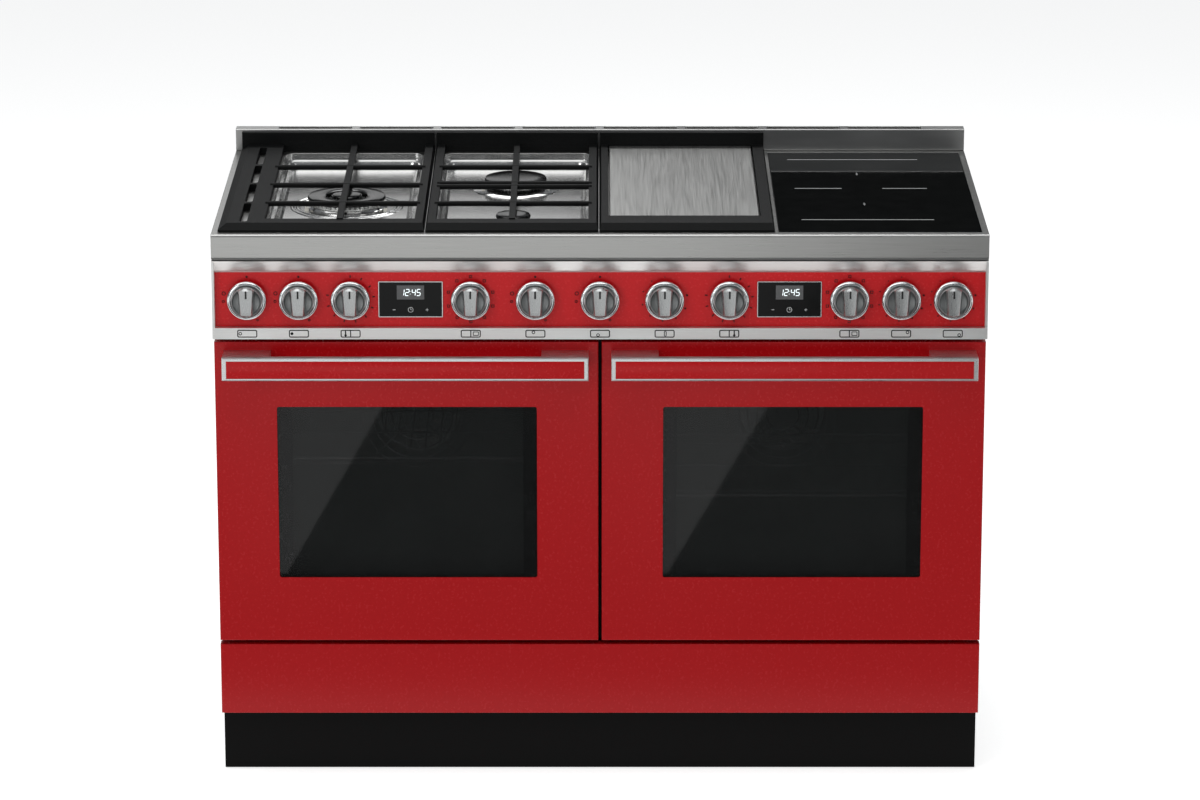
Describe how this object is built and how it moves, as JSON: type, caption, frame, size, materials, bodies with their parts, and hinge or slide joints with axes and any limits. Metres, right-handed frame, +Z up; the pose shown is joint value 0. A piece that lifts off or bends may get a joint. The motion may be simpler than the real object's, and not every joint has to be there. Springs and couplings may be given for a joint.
{
  "type": "freestanding gas range",
  "caption": "Wide dual-fuel range: gas burners, griddle and induction zone over two electric ovens with drop-down doors and a storage drawer.",
  "frame": {"origin": "on the floor, centred in width, midway between the handle fronts and the back", "axes": "+X to the right seen from the front, the doors face -Y, +Z up"},
  "size_m": [1.2, 0.65, 0.926],
  "materials": {
    "stainless_steel": "brushed along its length",
    "red_enamel": "glossy baked enamel",
    "black_enamel": "satin baked enamel",
    "black_plastic": "moulded, matt",
    "cast_iron": "matt black enamelled casting",
    "hob_glass": "polished black ceramic glass with pale printed lines",
    "door_glass": "polished dark tinted glass",
    "display_glass": "polished black glass",
    "handle_metal": "satin, fine brushed",
    "satin_chrome": "satin plated",
    "grey_enamel": "speckled vitreous enamel",
    "galvanised_steel": "plain galvanised sheet",
    "brass": "turned"
  },
  "bodies": {
    "range_body": {"hob_top": "stainless_steel", "rear_upstand": "stainless_steel", "control_fascia": "stainless_steel", "front_frame": "stainless_steel", "griddle_plate": "stainless_steel", "wok_burner_base": "stainless_steel", "rear_burner_base": "stainless_steel", "front_burner_base": "stainless_steel", "fascia_insert": "red_enamel", "plinth": "black_enamel", "foot_front_left": "black_plastic", "foot_front_right": "black_plastic", "foot_rear_left": "black_plastic", "foot_rear_right": "black_plastic", "induction_glass": "hob_glass", "display_left": "display_glass", "display_right": "display_glass", "oven_liner_left": "grey_enamel", "oven_liner_right": "grey_enamel", "side_panel_left": "galvanised_steel", "side_panel_right": "galvanised_steel", "back_panel": "galvanised_steel", "base_pan": "galvanised_steel", "gas_manifold": "brass"},
    "door_left": {"door_panel_left": "red_enamel", "door_glass_left": "door_glass", "inner_door_left": "grey_enamel", "handle_left": "handle_metal"},
    "oven_rack_left": {"oven_rack_left": "satin_chrome"},
    "oven_fan_left": {"oven_fan_left": "galvanised_steel"},
    "door_right": {"door_panel_right": "red_enamel", "door_glass_right": "door_glass", "inner_door_right": "grey_enamel", "handle_right": "handle_metal"},
    "oven_rack_right": {"oven_rack_right": "satin_chrome"},
    "oven_fan_right": {"oven_fan_right": "galvanised_steel"},
    "drawer": {"drawer_front": "red_enamel", "drawer_box": "galvanised_steel"},
    "pan_support_left": {"pan_support_left": "cast_iron"},
    "pan_support_middle": {"pan_support_middle": "cast_iron"},
    "griddle_frame": {"griddle_frame": "cast_iron"},
    "wok_outer_cap": {"wok_outer_cap": "cast_iron"},
    "wok_inner_cap": {"wok_inner_cap": "cast_iron"},
    "rear_burner_cap": {"rear_burner_cap": "cast_iron"},
    "front_burner_cap": {"front_burner_cap": "cast_iron"},
    "knob_01": {"knob_01_wok_outer": "satin_chrome"},
    "spindle_01": {"spindle_01_wok_outer": "brass"},
    "knob_02": {"knob_02_wok_inner": "satin_chrome"},
    "spindle_02": {"spindle_02_wok_inner": "brass"},
    "knob_03": {"knob_03_left_oven_heat": "satin_chrome"},
    "knob_04": {"knob_04_left_oven_mode": "satin_chrome"},
    "knob_05": {"knob_05_rear_burner": "satin_chrome"},
    "spindle_05": {"spindle_05_rear_burner": "brass"},
    "knob_06": {"knob_06_front_burner": "satin_chrome"},
    "spindle_06": {"spindle_06_front_burner": "brass"},
    "knob_07": {"knob_07_griddle": "satin_chrome"},
    "knob_08": {"knob_08_right_oven_heat": "satin_chrome"},
    "knob_09": {"knob_09_right_oven_mode": "satin_chrome"},
    "knob_10": {"knob_10_zone_front": "satin_chrome"},
    "knob_11": {"knob_11_zone_rear": "satin_chrome"}
  },
  "joints": [
    {"name": "door_left_hinge", "type": "hinge", "parent": "range_body", "child": "door_left", "pos_m": [-0.30025, -0.263, 0.245], "axis": [1, 0, 0], "range_deg": [0, 90]},
    {"name": "oven_rack_left_slide", "type": "slide", "parent": "range_body", "child": "oven_rack_left", "axis": [0, -1, 0], "range_m": [0, 0.33]},
    {"name": "oven_fan_left_spin", "type": "hinge", "parent": "range_body", "child": "oven_fan_left", "pos_m": [-0.30025, 0.1903, 0.478], "axis": [0, 1, 0], "continuous": true},
    {"name": "door_right_hinge", "type": "hinge", "parent": "range_body", "child": "door_right", "pos_m": [0.30025, -0.263, 0.245], "axis": [1, 0, 0], "range_deg": [0, 90]},
    {"name": "oven_rack_right_slide", "type": "slide", "parent": "range_body", "child": "oven_rack_right", "axis": [0, -1, 0], "range_m": [0, 0.33]},
    {"name": "oven_fan_right_spin", "type": "hinge", "parent": "range_body", "child": "oven_fan_right", "pos_m": [0.30025, 0.1903, 0.478], "axis": [0, 1, 0], "continuous": true},
    {"name": "drawer_slide", "type": "slide", "parent": "range_body", "child": "drawer", "axis": [0, -1, 0], "range_m": [0, 0.38]},
    {"name": "pan_support_left_lift", "type": "slide", "parent": "range_body", "child": "pan_support_left", "axis": [0, 0, 1], "range_m": [0, 0.12]},
    {"name": "pan_support_middle_lift", "type": "slide", "parent": "range_body", "child": "pan_support_middle", "axis": [0, 0, 1], "range_m": [0, 0.12]},
    {"name": "griddle_frame_lift", "type": "slide", "parent": "range_body", "child": "griddle_frame", "axis": [0, 0, 1], "range_m": [0, 0.12]},
    {"name": "wok_outer_cap_lift", "type": "slide", "parent": "range_body", "child": "wok_outer_cap", "axis": [0, 0, 1], "range_m": [0, 0.005]},
    {"name": "wok_inner_cap_lift", "type": "slide", "parent": "range_body", "child": "wok_inner_cap", "axis": [0, 0, 1], "range_m": [0, 0.005]},
    {"name": "rear_burner_cap_lift", "type": "slide", "parent": "range_body", "child": "rear_burner_cap", "axis": [0, 0, 1], "range_m": [0, 0.005]},
    {"name": "front_burner_cap_lift", "type": "slide", "parent": "range_body", "child": "front_burner_cap", "axis": [0, 0, 1], "range_m": [0, 0.005]},
    {"name": "spindle_01_push", "type": "slide", "parent": "range_body", "child": "spindle_01", "axis": [0, 1, 0], "range_m": [0, 0.004], "stiffness_N_per_m": 300},
    {"name": "knob_01_turn", "type": "hinge", "parent": "spindle_01", "child": "knob_01", "pos_m": [-0.546, -0.27, 0.78525], "axis": [0, -1, 0], "range_deg": [0, 210]},
    {"name": "spindle_02_push", "type": "slide", "parent": "range_body", "child": "spindle_02", "axis": [0, 1, 0], "range_m": [0, 0.004], "stiffness_N_per_m": 300},
    {"name": "knob_02_turn", "type": "hinge", "parent": "spindle_02", "child": "knob_02", "pos_m": [-0.466, -0.27, 0.78525], "axis": [0, -1, 0], "range_deg": [0, 210]},
    {"name": "knob_03_turn", "type": "hinge", "parent": "range_body", "child": "knob_03", "pos_m": [-0.386, -0.27, 0.78525], "axis": [0, -1, 0], "range_deg": [-280, 0]},
    {"name": "knob_04_turn", "type": "hinge", "parent": "range_body", "child": "knob_04", "pos_m": [-0.2, -0.27, 0.78525], "axis": [0, -1, 0], "continuous": true},
    {"name": "spindle_05_push", "type": "slide", "parent": "range_body", "child": "spindle_05", "axis": [0, 1, 0], "range_m": [0, 0.004], "stiffness_N_per_m": 300},
    {"name": "knob_05_turn", "type": "hinge", "parent": "spindle_05", "child": "knob_05", "pos_m": [-0.1, -0.27, 0.78525], "axis": [0, -1, 0], "range_deg": [0, 210]},
    {"name": "spindle_06_push", "type": "slide", "parent": "range_body", "child": "spindle_06", "axis": [0, 1, 0], "range_m": [0, 0.004], "stiffness_N_per_m": 300},
    {"name": "knob_06_turn", "type": "hinge", "parent": "spindle_06", "child": "knob_06", "pos_m": [0, -0.27, 0.78525], "axis": [0, -1, 0], "range_deg": [0, 210]},
    {"name": "knob_07_turn", "type": "hinge", "parent": "range_body", "child": "knob_07", "pos_m": [0.1, -0.27, 0.78525], "axis": [0, -1, 0], "range_deg": [-280, 0]},
    {"name": "knob_08_turn", "type": "hinge", "parent": "range_body", "child": "knob_08", "pos_m": [0.2, -0.27, 0.78525], "axis": [0, -1, 0], "range_deg": [-280, 0]},
    {"name": "knob_09_turn", "type": "hinge", "parent": "range_body", "child": "knob_09", "pos_m": [0.386, -0.27, 0.78525], "axis": [0, -1, 0], "continuous": true},
    {"name": "knob_10_turn", "type": "hinge", "parent": "range_body", "child": "knob_10", "pos_m": [0.466, -0.27, 0.78525], "axis": [0, -1, 0], "range_deg": [-290, 0]},
    {"name": "knob_11_turn", "type": "hinge", "parent": "range_body", "child": "knob_11", "pos_m": [0.546, -0.27, 0.78525], "axis": [0, -1, 0], "range_deg": [-290, 0]}
  ],
  "couplings": [
    {"joint": "oven_rack_left_slide", "follows": "door_left_hinge", "m_per_rad": 0.21},
    {"joint": "oven_rack_right_slide", "follows": "door_right_hinge", "m_per_rad": 0.21}
  ]
}
